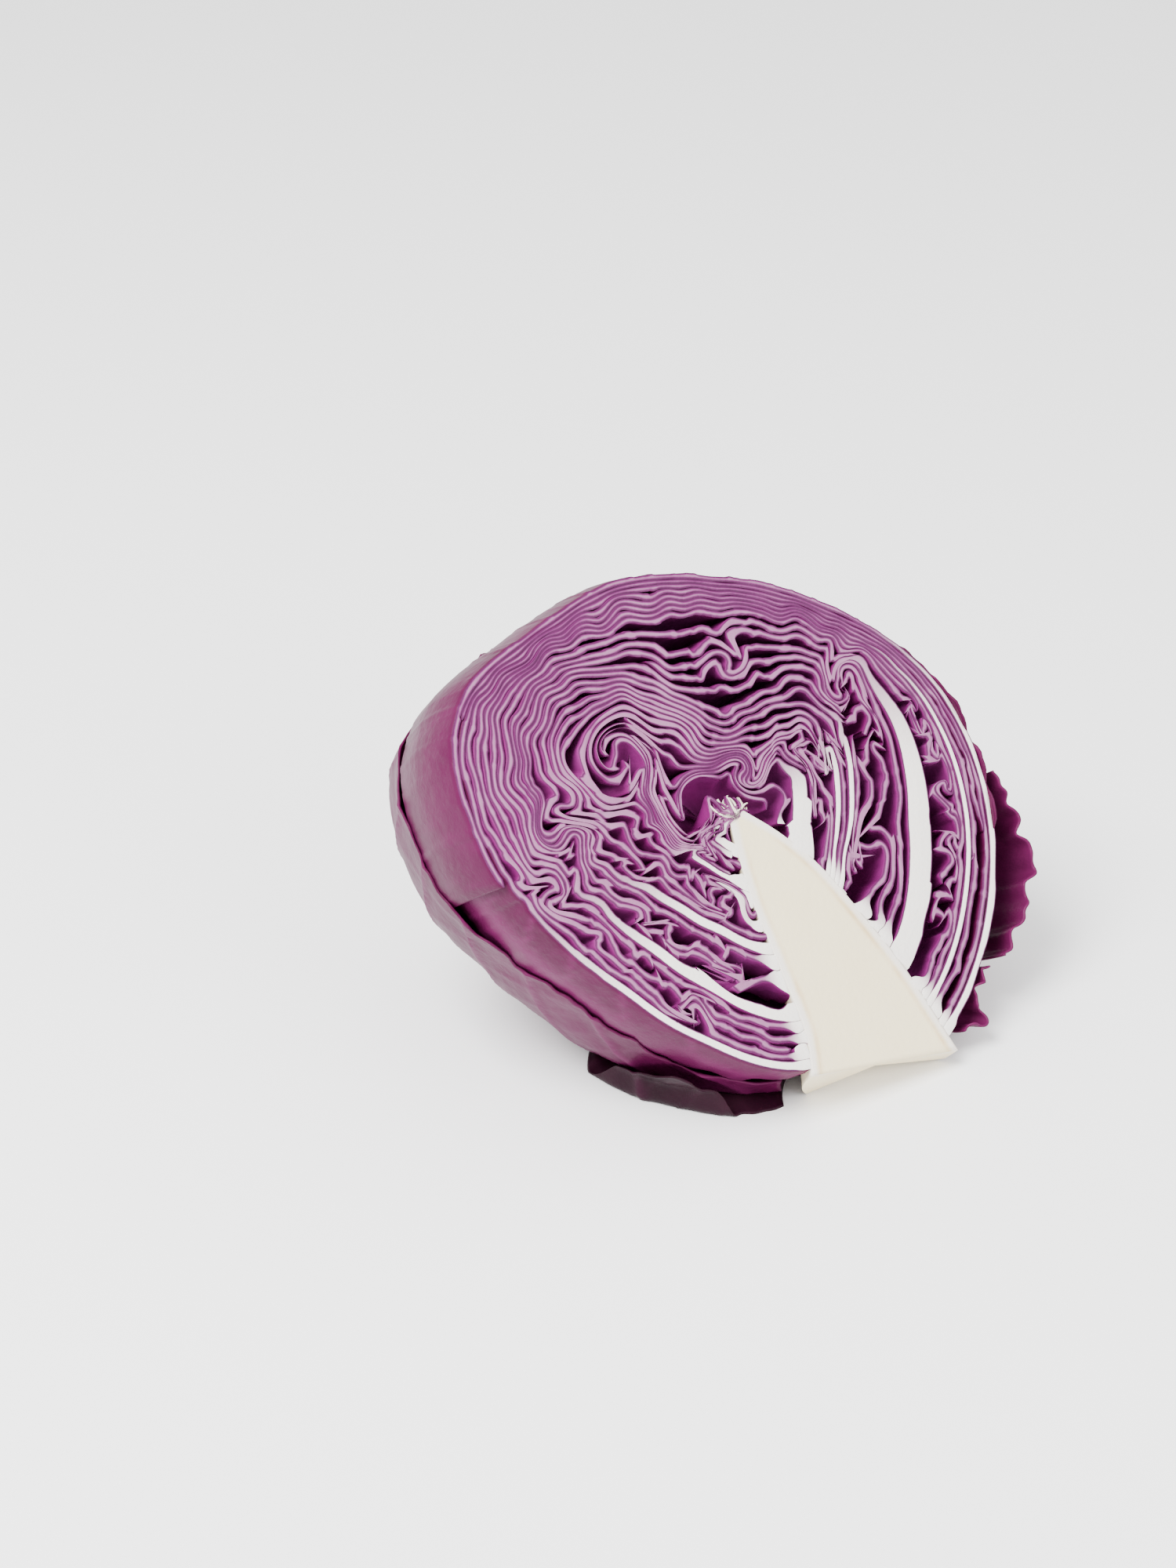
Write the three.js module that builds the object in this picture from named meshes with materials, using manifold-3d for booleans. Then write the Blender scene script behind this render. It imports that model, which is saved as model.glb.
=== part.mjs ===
// Half of a red cabbage, cut lengthwise beside the middle of its stem, in millimetres.
// The head is a nest of cupped leaves round a growing tip, on a tapering core. Each leaf is one
// shell of that nest: its radius from the tip is read from growth rings on the cut face, and the
// shell closes behind the face as a dome. Wrapper leaves lie over the dome, and the half rests on
// the flat spot that its weight presses into them.
import * as THREE from "three";
import { mergeVertices } from "three/addons/utils/BufferGeometryUtils.js";
import Module from "manifold-3d";

const wasm = await Module();
wasm.setup();

// ---------- driving dimensions ----------
const LAMINA = 2; // full thickness of a leaf blade where it has room
const WRAPPER = 1.3; // thickness of the loose outer leaves
const CLEARANCE = 0.4; // air between neighbouring leaves
const TIP_HEIGHT = 70; // growing tip above the surface that the half rests on
const HEADING = 38.9; // degrees that the cut face turns from -Y towards +X
const LEAN = 52.6; // degrees that the cut face's normal leans from straight up
const ROLL = 9.6; // degrees that the stem turns in the plane of the cut face
const DROOP = 4; // how far the outermost wrapper leaf sags to lie on the surface
const BULGE = 0.2; // how far behind the cut the dome is widest, as a share of its radius
const DOME = Math.hypot(1, BULGE); // radius of the dome's arc for a ring of radius 1
const DOME_STEPS = 4; // facets from the cut face to the back
const BACK_HALF = 0.35; // half the room that a leaf takes straight behind the tip
const PRESSED_PITCH = 2; // from one leaf to the next where the half's weight presses them flat
const PRESSED_LEAF = 1.4; // thickness of a leaf there
const PRESSED_GAP = 0.5; // room there between the head and the wrapper leaves
const END_ROOM = 6; // room for the first and the last leaf, which have one neighbour only
const RIB_LEFT = 165; // direction in which the midribs on the left side begin
const RIB_RIGHT = 15; // the same on the right side
const RIB_TAPER = 60; // degrees over which a midrib grows to its full thickness
const RIB_BACK = 0.285; // share of the way back over the dome at which a midrib has thinned out

// Directions round the growing tip on the cut face, in degrees from the right-hand side. Every leaf
// has its corners on these rays, so neighbouring leaves nest without crossing.
const DIRECTIONS = [
  268, 250, 225, 200, 180, 165, 150, 140, 133, 125, 115, 105, 90, 75, 60, 45, 30, 15, 0, -15, -30, -45,
  -60, -88,
];
// Growth rings from the tip outwards: the radius in each direction, and behind the tip.
const RINGS = [
  {
    behind: 6,
    radii: [
      5, 5, 5, 5, 5, 6, 8, 10, 10, 8, 6, 5,
      4, 4, 4, 4, 5, 5, 5, 5, 5, 5, 5, 5,
    ],
  },
  {
    behind: 10,
    radii: [
      9, 9, 8.5, 8.5, 9.5, 12, 17, 23, 25, 20, 13, 10,
      8, 7, 7, 7.5, 9, 11, 11, 10, 10, 10, 11, 11,
    ],
  },
  {
    behind: 16,
    radii: [
      13, 13, 12, 12, 13.5, 17, 26, 31, 33, 27, 20, 15,
      12, 11, 10.5, 12, 15, 24, 25, 22, 20, 21.5, 23, 23,
    ],
  },
  {
    behind: 30,
    radii: [
      19, 19, 16, 16, 18, 23, 34, 46, 56, 54, 51, 43,
      27, 19, 18, 19, 25, 32, 33, 30, 28, 28, 30, 30,
    ],
  },
  {
    behind: 42,
    radii: [
      36, 36, 31, 31.5, 36, 46, 57, 64, 66, 65, 62, 55,
      42, 31, 28.5, 34, 47, 50, 47, 42, 39, 36, 38, 38,
    ],
  },
  {
    behind: 51,
    radii: [
      47, 47, 42, 42, 46, 53, 61, 68, 70.5, 70, 66, 61,
      53, 47, 48, 54, 59, 62, 64, 61, 58, 59, 60, 60,
    ],
  },
  {
    behind: 56,
    radii: [
      55, 55, 47, 46, 50, 58, 67, 73, 75.5, 74, 70, 66,
      60, 57, 57, 60, 63, 67, 70, 70.5, 70, 69, 69, 69,
    ],
  },
  {
    behind: 65.5,
    radii: [
      68, 68, 61.5, 60.5, 66, 73, 80, 84, 84.5, 81, 75, 71,
      69, 66, 64, 65.5, 68, 74, 79, 81, 81, 80, 80, 80,
    ],
  },
  {
    behind: 68,
    radii: [
      71, 71, 64, 63, 68.5, 75.5, 82, 86, 87, 84, 77.5, 73.5,
      71.5, 68.5, 66.5, 68, 70.5, 76, 81.5, 84, 84.5, 84, 84, 84,
    ],
  },
];
const LAST_RING = RINGS.length - 1;
const RIGHT_LEAF_END = 165; // direction in which the outermost leaf ends
const STEP_DOWN = 15; // degrees over which the dome steps down past that end
const OUTER_FROM = 7; // ring from which leaves have the dark skin of the outside

// Every leaf of the head: its ring, where it starts and ends on the cut face, and the side on which
// the knife met its midrib, with the midrib's full thickness there.
const LEAVES = [
  { name: "tip_leaf_left", ring: 1, from: 268, to: -15, rib: "left", thick: 4 },
  { name: "tip_leaf_back", ring: 1.45, from: 225, to: -30 },
  { name: "tip_leaf_right", ring: 2, from: 268, to: -88, rib: "right", thick: 8 },
  { name: "heart_leaf_1", ring: 2.2, from: 180, to: 15 },
  { name: "heart_leaf_2", ring: 2.4, from: 200, to: 0 },
  { name: "heart_leaf_3", ring: 2.6, from: 200, to: -15 },
  { name: "heart_leaf_4", ring: 2.8, from: 225, to: -15 },
  { name: "arched_leaf_left", ring: 3, from: 268, to: -60, rib: "left", thick: 3 },
  { name: "inner_leaf_1", ring: 3.2, from: 268, to: -60 },
  { name: "inner_leaf_2", ring: 3.4, from: 268, to: -88, rib: "right", thick: 3 },
  { name: "inner_leaf_3", ring: 3.6, from: 268, to: -60 },
  { name: "inner_leaf_4", ring: 3.8, from: 268, to: -88, rib: "right", thick: 3 },
  { name: "middle_leaf_left", ring: 4, from: 268, to: -60, rib: "left", thick: 6 },
  { name: "inner_leaf_5", ring: 4.3, from: 268, to: -88 },
  { name: "inner_leaf_6", ring: 4.55, from: 90, to: -88 },
  { name: "inner_leaf_7", ring: 4.75, from: 268, to: -88 },
  { name: "middle_leaf_right", ring: 5, from: 225, to: -88, rib: "right", thick: 10 },
  { name: "inner_leaf_8", ring: 5.5, from: 165, to: 15 },
  { name: "lower_leaf_left", ring: 6, from: 268, to: -45, rib: "left", thick: 5 },
  { name: "inner_leaf_9", ring: 6.2, from: 268, to: -88 },
  { name: "inner_leaf_10", ring: 6.4, from: 268, to: -88 },
  { name: "lower_leaf_right", ring: 6.6, from: 250, to: -88, rib: "right", thick: 4 },
  { name: "inner_leaf_11", ring: 6.8, from: 268, to: -88 },
  { name: "outer_leaf_left", ring: 7, from: 268, to: -30, rib: "left", thick: 4 },
  { name: "outer_leaf_back", ring: 7.5, from: 133, to: -88 },
  { name: "outer_leaf_right", ring: 8, from: 165, to: -88, rib: "right", thick: 4 },
];

// Wrapper leaves lie over the dome. The middle longitude runs from 0 on the right round the back to
// 180 on the left, the reach is in degrees from the stem, and the layer counts outwards.
const WRAPPERS = [
  { name: "wrapper_leaf_right", middle: 42, spread: 46, reach: 150, layer: 1 },
  { name: "wrapper_leaf_left", middle: 118, spread: 48, reach: 152, layer: 2 },
  { name: "wrapper_leaf_base", middle: 96, spread: 66, reach: 66, layer: 3 },
];
const WRAPPER_START = 21; // degrees from the stem at which a wrapper leaf begins
const WRAPPER_STEPS = 11; // facets along and across a wrapper leaf
const WRAPPER_BLUNT = 0.06; // how blunt a wrapper leaf's far end is, as a share of its width squared
const WRAPPER_LIFT = 2.2; // from the outermost ring to the layer on which the wrapper leaves start
const FLAT_LAYERS = 3; // wrapper layers between the head and the resting surface
const HEAD_ROOM = 3; // room kept free of wrapper leaves outside the outermost ring
const HEAD_ROOM_BACK = 1.5; // the same straight behind the tip
const HEAD_HOLLOW = 0.3; // inner surface of the solid that keeps it free, as a share of its outer one

// Core and stem on the cut face, from the tip to the cut base: left and right edges.
const CORE_LEFT = [[-1, 2], [-4.5, -8], [-8, -28], [-12, -45], [-15, -60], [-20, -68]];
const CORE_RIGHT = [[1.5, 2], [8, -12], [14, -28], [19, -45], [22, -62], [24, -87]];
const CORE_DEPTH = 0.82; // depth behind the cut as a share of the core's half width
const CORE_ARC_STEPS = 8; // facets round the back of the core
const BASE_CLEARED = 40; // how far below the cut base the leaves are kept clear
const BASE_WIDER = 1.1; // how much wider that cleared room is than the base
const BASE_DEEPER = 1.6; // how much deeper it is than the base
const BUD_RADIUS = 4.2; // bud of crowded leaflets on the growing tip

// Two leaves that stand away from the head at its lower right, as paths on the cut face.
const LOOSE_STEPS = 3; // facets from point to point of a path, and from its front to its back
const LOOSE_DRAWN_IN = 0.06; // how far a loose leaf is drawn in towards the stem at its back
const LOOSE_LEAVES = [
  {
    name: "frilled_leaf_right",
    depth: 26,
    thick: 1.4,
    path: [[84.6, -30], [84.2, -42], [81.5, -54], [74, -63], [63, -72], [55, -74]],
  },
  {
    name: "curled_leaf_right",
    depth: 12,
    thick: 1.4,
    path: [[30, -84], [37, -84], [41, -77], [49, -74]],
  },
];

// ---------- small helpers ----------
const rad = THREE.MathUtils.degToRad;
const lerp = THREE.MathUtils.lerp;
const smooth = (t) => THREE.MathUtils.smoothstep(t, 0, 1);
const steps = (n) => Array.from({ length: n + 1 }, (_, i) => i / n);

// Unit vector straight down, in the head's own frame: X across the cut face, Y up the stem, Z out of it.
const DOWN = new THREE.Vector3(
  -Math.sin(rad(LEAN)) * Math.sin(rad(ROLL)),
  -Math.sin(rad(LEAN)) * Math.cos(rad(ROLL)),
  -Math.cos(rad(LEAN)),
);

// One ring's radius in a direction: straight lines between the given directions.
function radiusAlong(radii, degrees) {
  const last = DIRECTIONS.length - 1;
  if (degrees >= DIRECTIONS[0]) return radii[0];
  if (degrees <= DIRECTIONS[last]) return radii[last];
  const i = DIRECTIONS.findIndex((d, k) => k < last && degrees <= d && degrees > DIRECTIONS[k + 1]);
  const t = (DIRECTIONS[i] - degrees) / (DIRECTIONS[i] - DIRECTIONS[i + 1]);
  return lerp(radii[i], radii[i + 1], t);
}

// Radius of a ring at a fractional place in the nest, in a direction on the cut face.
function ringRadius(ring, degrees) {
  const i = Math.min(Math.floor(ring), RINGS.length - 2);
  const inner = radiusAlong(RINGS[i].radii, degrees);
  return lerp(inner, radiusAlong(RINGS[i + 1].radii, degrees), ring - i);
}

// The same ring's radius straight behind the tip.
function ringBehind(ring) {
  const i = Math.min(Math.floor(ring), RINGS.length - 2);
  return lerp(RINGS[i].behind, RINGS[i + 1].behind, ring - i);
}

// A point below its floor is drawn back towards the tip until it lies on it.
function pressed(point, floor) {
  const below = point.dot(DOWN);
  return below > floor ? point.multiplyScalar(floor / below) : point;
}

// A point of the outermost leaf that hangs close above the resting surface sags down to it.
function settled(point, floor) {
  const below = point.dot(DOWN);
  const near = THREE.MathUtils.smoothstep(below, floor - 2 * DROOP, floor - DROOP);
  return near > 0 ? point.multiplyScalar(lerp(below, floor, near) / below) : point;
}

// A point of the dome over a ring: alpha is its direction on the cut face, turn runs from 0 on the
// face to 1 behind the tip. The radius blends from the ring's own to its radius behind the tip.
function domePoint(alpha, turn, radius, behind, floor) {
  const start = -Math.atan(BULGE);
  const angle = lerp(start, Math.PI / 2, turn);
  const r = lerp(radius, behind, smooth(turn));
  const flat = turn === 1 ? 0 : r * DOME * Math.cos(angle);
  const back = r * (DOME * Math.sin(angle) + BULGE);
  const point = new THREE.Vector3(flat * Math.cos(rad(alpha)), flat * Math.sin(rad(alpha)), -back);
  return pressed(point, floor);
}

// The outermost ring in a direction: the right-hand outer leaf ends at the upper left, and the dome
// steps down there to the ring below it.
function outermostRing(degrees) {
  const past = (degrees - RIGHT_LEAF_END) / STEP_DOWN;
  return LAST_RING - THREE.MathUtils.clamp(past, 0, 1);
}

// The dome's surface in any direction behind the face, for leaves that lie over it.
function domeAlong(direction, lift, floor) {
  const inPlane = Math.max(Math.hypot(direction.x, direction.y), 1e-6);
  const alpha = THREE.MathUtils.radToDeg(Math.atan2(direction.y, direction.x));
  const degrees = alpha < -90 ? alpha + 360 : alpha;
  const slope = -direction.z / inPlane;
  const angle = Math.atan(slope) - Math.asin(BULGE / (DOME * Math.hypot(1, slope)));
  const start = -Math.atan(BULGE);
  const turn = (angle - start) / (Math.PI / 2 - start);
  const r = lerp(ringRadius(outermostRing(degrees), degrees), ringBehind(LAST_RING), smooth(turn));
  const reach = Math.hypot(r * DOME * Math.cos(angle), r * (DOME * Math.sin(angle) + BULGE));
  return pressed(direction.clone().normalize().multiplyScalar(reach + lift), floor);
}

// A closed solid between two grids of points that have the same rows and columns.
function shellGeometry(outer, inner) {
  const lastRow = outer.length - 1;
  const lastColumn = outer[0].length - 1;
  const positions = [];
  const quad = (a, b, c, d) => [a, b, c, a, c, d].forEach((p) => positions.push(p.x, p.y, p.z));
  for (let i = 0; i < lastRow; i++) {
    for (let j = 0; j < lastColumn; j++) {
      quad(outer[i][j], outer[i + 1][j], outer[i + 1][j + 1], outer[i][j + 1]);
      quad(inner[i][j], inner[i][j + 1], inner[i + 1][j + 1], inner[i + 1][j]);
    }
    quad(outer[i][0], inner[i][0], inner[i + 1][0], outer[i + 1][0]);
    quad(outer[i][lastColumn], outer[i + 1][lastColumn], inner[i + 1][lastColumn], inner[i][lastColumn]);
  }
  for (let j = 0; j < lastColumn; j++) {
    quad(outer[0][j], outer[0][j + 1], inner[0][j + 1], inner[0][j]);
    quad(outer[lastRow][j], inner[lastRow][j], inner[lastRow][j + 1], outer[lastRow][j + 1]);
  }
  const geometry = new THREE.BufferGeometry();
  geometry.setAttribute("position", new THREE.Float32BufferAttribute(positions, 3));
  return geometry;
}

// A geometry as a manifold-3d solid, turned right side out.
function solidOf(geometry) {
  const merged = mergeVertices(geometry, 1e-4);
  const index = merged.index.array;
  const kept = [];
  for (let i = 0; i < index.length; i += 3) {
    const [a, b, c] = [index[i], index[i + 1], index[i + 2]];
    if (a !== b && b !== c && a !== c) kept.push(a, b, c);
  }
  const build = (triangles) =>
    new wasm.Manifold(
      new wasm.Mesh({
        numProp: 3,
        vertProperties: merged.attributes.position.array,
        triVerts: new Uint32Array(triangles),
      }),
    );
  const made = build(kept);
  if (made.volume() > 0) return made;
  for (let i = 0; i < kept.length; i += 3) [kept[i], kept[i + 1]] = [kept[i + 1], kept[i]];
  return build(kept);
}

// The largest body of a solid as a three.js geometry.
function geometryOf(solid) {
  const bodies = solid.decompose();
  const largest = bodies.reduce((best, body) => (body.volume() > best.volume() ? body : best));
  const mesh = largest.getMesh();
  const geometry = new THREE.BufferGeometry();
  geometry.setAttribute("position", new THREE.BufferAttribute(mesh.vertProperties, 3));
  geometry.setIndex(new THREE.BufferAttribute(mesh.triVerts, 1));
  const flat = geometry.toNonIndexed();
  flat.computeVertexNormals();
  return flat;
}

// ---------- materials ----------
const leafMaterial = (name, color, roughness) =>
  new THREE.MeshStandardMaterial({ name, color, roughness, metalness: 0 });
const MATERIALS = {
  core: leafMaterial("core", 0xf0e8cf, 0.5),
  inner: leafMaterial("inner_leaf", 0xb98fbb, 0.45),
  outer: leafMaterial("outer_leaf", 0x7c2a72, 0.4),
};

// ---------- the pieces ----------
// The core is a half cone with rounded flanks. Each station is a half ellipse between the left and
// right edge points. Grow widens it all round and clears the room below its base.
function coreSolid(grow) {
  const stations = CORE_LEFT.map((left, i) => {
    const right = CORE_RIGHT[i];
    const centre = new THREE.Vector3((left[0] + right[0]) / 2, (left[1] + right[1]) / 2, 0);
    const half = new THREE.Vector3((right[0] - left[0]) / 2, (right[1] - left[1]) / 2, 0);
    const width = half.length();
    half.multiplyScalar((width + grow) / width);
    const depth = CORE_DEPTH * width + grow;
    return steps(CORE_ARC_STEPS).map((t) => {
      const angle = Math.PI * t;
      const point = centre.clone().addScaledVector(half, -Math.cos(angle));
      point.z = -depth * Math.sin(angle);
      return pressed(point, TIP_HEIGHT - CLEARANCE + grow);
    });
  });
  if (grow) {
    stations.unshift(stations[0].map((p) => new THREE.Vector3(p.x, p.y + grow, p.z)));
    const cleared = (p) => new THREE.Vector3(p.x * BASE_WIDER, p.y - BASE_CLEARED, p.z * BASE_DEEPER);
    stations.push(stations.at(-1).map(cleared));
  }
  const front = stations.map((row) => row.map((p, j) => {
    const flat = row[0].clone().lerp(row.at(-1), j / (row.length - 1));
    flat.z = grow;
    return flat;
  }));
  return solidOf(shellGeometry(stations, front));
}

// Half the thickness of a leaf in a direction: the blade, and the midrib on the side it grew from.
function halfThickness(leaf, alpha, turn) {
  if (!leaf.rib) return LAMINA / 2;
  const along = leaf.rib === "left" ? alpha - RIB_LEFT : RIB_RIGHT - alpha;
  const rib = THREE.MathUtils.clamp(along / RIB_TAPER, 0, 1) * Math.max(0, 1 - turn / RIB_BACK);
  return lerp(LAMINA, leaf.thick, smooth(rib)) / 2;
}

// Radius of the next leaf inwards or outwards, which a leaf may not reach.
function neighbourRadius(index, step, alpha) {
  const next = LEAVES[index + step];
  return next ? ringRadius(next.ring, alpha) : ringRadius(LEAVES[index].ring, alpha) + step * END_ROOM;
}

// One leaf of the nest: a cupped shell from the cut face to the back of the head, less the core.
function headLeaf(leaf, index, coreCutter) {
  const rays = DIRECTIONS.filter((d) => d <= leaf.from && d >= leaf.to);
  const layersOut = LEAVES.length - 1 - index;
  const headFloor = TIP_HEIGHT - FLAT_LAYERS * (WRAPPER + CLEARANCE) - PRESSED_GAP;
  const floorOut = headFloor - layersOut * PRESSED_PITCH;
  const surface = (side) =>
    rays.map((alpha) =>
      steps(DOME_STEPS).map((turn) => {
        const own = ringRadius(leaf.ring, alpha);
        const gap = Math.abs(neighbourRadius(index, side, alpha) - own) / 2 - CLEARANCE / 2;
        const half = Math.min(halfThickness(leaf, alpha, turn), gap);
        const behind = ringBehind(leaf.ring) + side * BACK_HALF;
        const floor = side > 0 ? floorOut : floorOut - PRESSED_LEAF;
        return domePoint(alpha, turn, own + side * half, behind, floor);
      }),
    );
  return geometryOf(solidOf(shellGeometry(surface(1), surface(-1))).subtract(coreCutter));
}

// Everything inside the outermost leaf of the head and its clearance.
function headCutter() {
  const surface = (share) =>
    DIRECTIONS.map((alpha) =>
      steps(DOME_STEPS).map((turn) => {
        const radius = share * (ringRadius(outermostRing(alpha), alpha) + HEAD_ROOM);
        const floor = TIP_HEIGHT - FLAT_LAYERS * (WRAPPER + CLEARANCE) - CLEARANCE / 2;
        return domePoint(alpha, turn, radius, share * (ringBehind(LAST_RING) + HEAD_ROOM_BACK), floor);
      }),
    );
  return solidOf(shellGeometry(surface(1), surface(HEAD_HOLLOW)));
}

// One wrapper leaf as a solid: a pointed oval over the dome, from the stem towards the top of the
// head. Grow widens it on both sides.
function wrapperSolid(wrapper, grow) {
  const pitch = WRAPPER + CLEARANCE;
  const layersOut = FLAT_LAYERS - wrapper.layer;
  const surface = (rise) =>
    steps(WRAPPER_STEPS).map((along) =>
      steps(WRAPPER_STEPS).map((across) => {
        const reach = lerp(WRAPPER_START, wrapper.reach, along);
        const width = wrapper.spread * Math.sqrt(Math.max(WRAPPER_BLUNT, 1 - along ** 3));
        const longitude = wrapper.middle + width * (2 * across - 1);
        const direction = new THREE.Vector3(
          Math.sin(rad(reach)) * Math.cos(rad(longitude)),
          -Math.cos(rad(reach)),
          -Math.sin(rad(reach)) * Math.sin(rad(longitude)),
        );
        const floor = TIP_HEIGHT - layersOut * pitch + rise;
        const point = domeAlong(direction, WRAPPER_LIFT + wrapper.layer * pitch + rise, floor);
        return layersOut === 0 ? settled(point, floor) : point;
      }),
    );
  return solidOf(shellGeometry(surface(grow), surface(-WRAPPER - 4 * grow)));
}

// A loose leaf whose cut edge follows a path on the face, carried back from the face.
function looseSolid(leaf) {
  const curve = new THREE.CatmullRomCurve3(leaf.path.map(([x, y]) => new THREE.Vector3(x, y, 0)));
  const count = leaf.path.length * LOOSE_STEPS;
  const surface = (side) =>
    steps(count).map((t) => {
      const tangent = curve.getTangent(t);
      const normal = new THREE.Vector3(tangent.y, -tangent.x, 0);
      return steps(LOOSE_STEPS).map((back) => {
        const point = curve.getPoint(t).addScaledVector(normal, (side * leaf.thick) / 2);
        point.multiplyScalar(1 - LOOSE_DRAWN_IN * back * back);
        point.z = -leaf.depth * back;
        return point;
      });
    });
  return solidOf(shellGeometry(surface(1), surface(-1)));
}

// The bud of crowded leaflets on the growing tip.
function budGeometry(coreCutter) {
  const bud = new THREE.SphereGeometry(BUD_RADIUS, 12, 8);
  bud.deleteAttribute("normal");
  bud.deleteAttribute("uv");
  bud.translate(0, 1, 0);
  const keep = solidOf(bud).trimByPlane([0, 0, -1], 0);
  return geometryOf(keep.subtract(coreCutter));
}

// ---------- assembly ----------
const roll = new THREE.Group();
roll.rotation.z = rad(ROLL);
const coreCutter = coreSolid(CLEARANCE);

function addPiece(name, geometry, material) {
  const mesh = new THREE.Mesh(geometry, material);
  mesh.name = name;
  roll.add(mesh);
}

addPiece("core", geometryOf(coreSolid(0)), MATERIALS.core);
addPiece("bud", budGeometry(coreCutter), MATERIALS.core);
LEAVES.forEach((leaf, i) => {
  const material = leaf.ring < OUTER_FROM ? MATERIALS.inner : MATERIALS.outer;
  addPiece(leaf.name, headLeaf(leaf, i, coreCutter), material);
});
let taken = coreCutter.add(headCutter());
for (const wrapper of WRAPPERS) {
  addPiece(wrapper.name, geometryOf(wrapperSolid(wrapper, 0).subtract(taken)), MATERIALS.outer);
  taken = taken.add(wrapperSolid(wrapper, CLEARANCE));
}
LOOSE_LEAVES.forEach((leaf) => {
  addPiece(leaf.name, geometryOf(looseSolid(leaf).subtract(taken)), MATERIALS.outer);
});

const lean = new THREE.Group();
lean.rotation.x = rad(LEAN);
lean.add(roll);
const half = new THREE.Group();
half.rotation.z = rad(HEADING);
half.position.z = TIP_HEIGHT;
half.add(lean);

const cabbage = new THREE.Group();
cabbage.add(half);
cabbage.updateMatrixWorld(true);
const middle = new THREE.Box3().setFromObject(cabbage, true).getCenter(new THREE.Vector3());
half.position.x -= middle.x;
half.position.y -= middle.y;

export default cabbage;
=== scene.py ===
import math

import bpy
import numpy as np
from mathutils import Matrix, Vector


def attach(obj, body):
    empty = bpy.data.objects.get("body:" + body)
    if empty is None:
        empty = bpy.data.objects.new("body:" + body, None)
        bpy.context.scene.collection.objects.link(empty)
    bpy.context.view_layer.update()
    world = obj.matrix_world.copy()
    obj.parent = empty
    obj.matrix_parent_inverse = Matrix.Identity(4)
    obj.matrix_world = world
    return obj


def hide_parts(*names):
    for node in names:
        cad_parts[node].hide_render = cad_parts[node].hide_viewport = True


bl_info = {
    "name": "Red cabbage half",
    "version": (1, 0, 0),
    "blender": (4, 5, 0),
    "location": "3D View > Sidebar > Cabbage",
    "description": "Builds the folded leaves, core, wrapper leaves and stage of a cut red cabbage",
    "category": "Object",
}

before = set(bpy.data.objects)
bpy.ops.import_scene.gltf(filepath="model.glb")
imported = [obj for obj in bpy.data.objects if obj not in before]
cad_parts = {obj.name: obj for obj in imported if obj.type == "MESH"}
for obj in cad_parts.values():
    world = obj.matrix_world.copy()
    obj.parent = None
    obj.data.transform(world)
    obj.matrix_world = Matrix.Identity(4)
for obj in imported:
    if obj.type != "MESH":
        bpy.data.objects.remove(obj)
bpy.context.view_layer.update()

# ---------- the head's own frame: X across the cut face, Y up the stem, Z out of the face, in mm ----------
MM = 0.001
HEADING = math.radians(38.9)
LEAN = math.radians(52.6)
ROLL = math.radians(9.6)
BULGE = 0.2
DOME = math.hypot(1, BULGE)
DROOP = 4.0
CORE_TOP = np.array([0.25, 2.0])
FACE_HALF_SPAN = 100.0
FIELD_PITCH = 0.5
COARSE_FOLD = 3.7
FINE_FOLD = 2.2
LAST_DIRECTION = -76  # leaves that run down to the right end inside the core


def turn_about(axis, angle):
    """Rotation matrix about one coordinate axis: the other two axes turn by angle in their plane."""
    c, s = math.cos(angle), math.sin(angle)
    i, j = [(1, 2), (2, 0), (0, 1)][axis]
    m = np.eye(3)
    m[i, i], m[i, j], m[j, i], m[j, j] = c, -s, s, c
    return m


HEAD_AXES = turn_about(2, HEADING) @ turn_about(0, LEAN) @ turn_about(2, ROLL)
DOWN = HEAD_AXES.T @ np.array([0.0, 0.0, -1.0])


def tip_place():
    """Place of the growing tip in mm: the core's CAD mesh gives the cut plane and the core's top end."""
    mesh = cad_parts["core"].data
    co = np.empty(len(mesh.vertices) * 3)
    mesh.vertices.foreach_get("co", co)
    local = (co.reshape(-1, 3) / MM) @ HEAD_AXES
    top = local[local[:, 1] > local[:, 1].max() - 0.01]
    front = top[np.argsort(-top[:, 2])[:2]]
    offset = np.array([front[:, 0].mean() - CORE_TOP[0], top[:, 1].mean() - CORE_TOP[1], local[:, 2].max()])
    return HEAD_AXES @ offset


TIP = tip_place()
FLOOR = TIP[2]

# ---------- growth rings on the cut face ----------
DIRECTIONS = np.array([
    268, 250, 225, 200, 180, 165, 150, 140, 133, 125, 115, 105, 90, 75, 60, 45, 30, 15, 0, -15, -30, -45,
    -60, -88,
])
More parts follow.
